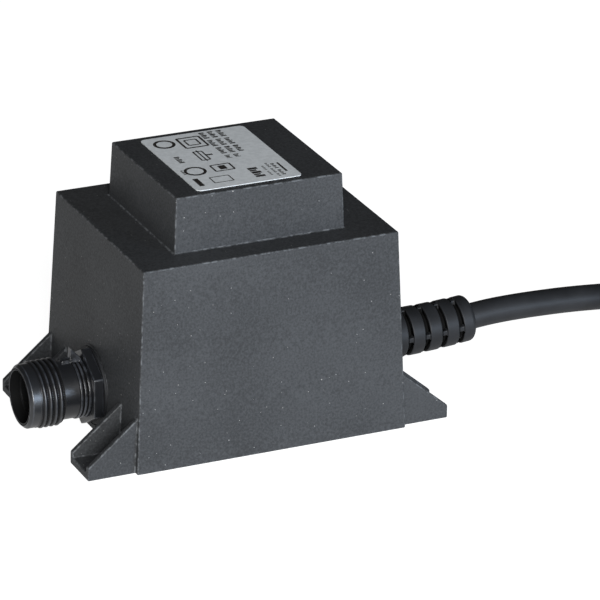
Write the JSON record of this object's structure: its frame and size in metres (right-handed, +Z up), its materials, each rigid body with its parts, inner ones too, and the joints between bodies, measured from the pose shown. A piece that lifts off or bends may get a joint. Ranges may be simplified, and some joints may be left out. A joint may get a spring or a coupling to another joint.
{
  "type": "electrical transformer",
  "caption": "Potted outdoor safety transformer: drafted shell with a raised block, four screw feet, a threaded low-voltage socket and a slotted strain relief with a coiled mains lead and flat plug.",
  "frame": {"origin": "middle of the base on the mounting surface, centre of the four foot screws", "axes": "+Z up out of the mounting surface, +X from the low-voltage socket to the mains lead, +Y to the back"},
  "size_m": [0.2874, 0.1004, 0.0693],
  "materials": {
    "shell": "fine matte spark texture",
    "label": "satin foil",
    "resin": "cast, slightly glossy",
    "lamination": "stacked silicon steel",
    "former": "natural nylon",
    "copper": "enamelled copper wire",
    "tape": "polyester tape",
    "steel": "plated",
    "contact": "tinned brass",
    "insulation_brown": "satin",
    "insulation_blue": "satin",
    "insulation_red": "satin",
    "insulation_black": "satin",
    "socket": "smooth moulded",
    "insert": "moulded",
    "soft": "matte",
    "sheath": "matte",
    "plug": "moulded",
    "plug_pin": "nickel plated"
  },
  "bodies": {
    "root": {"housing": "shell", "rating_label": "label", "potting_resin": "resin", "core_e": "lamination", "core_i": "lamination", "coil_former": "former", "primary_winding": "copper", "secondary_winding": "copper", "primary_tape": "tape", "secondary_tape": "tape", "thermal_cutout": "steel", "tag_live": "contact", "tag_neutral": "contact", "tag_out_a": "contact", "tag_out_b": "contact", "lead_live": "insulation_brown", "lead_neutral": "insulation_blue", "lead_out_a": "insulation_red", "lead_out_b": "insulation_black", "socket_shell": "socket", "contact_insert": "insert", "contact_pin_a": "contact", "contact_pin_b": "contact", "lock_nut": "socket", "wall_seal": "soft", "strain_relief": "soft", "cord_clamp": "steel", "cord_sheath": "sheath", "mains_cord": "sheath", "cord_coil": "sheath", "cord_tail": "sheath", "plug_body": "plug", "plug_pin_a": "plug_pin", "plug_pin_b": "plug_pin"}
  },
  "joints": []
}
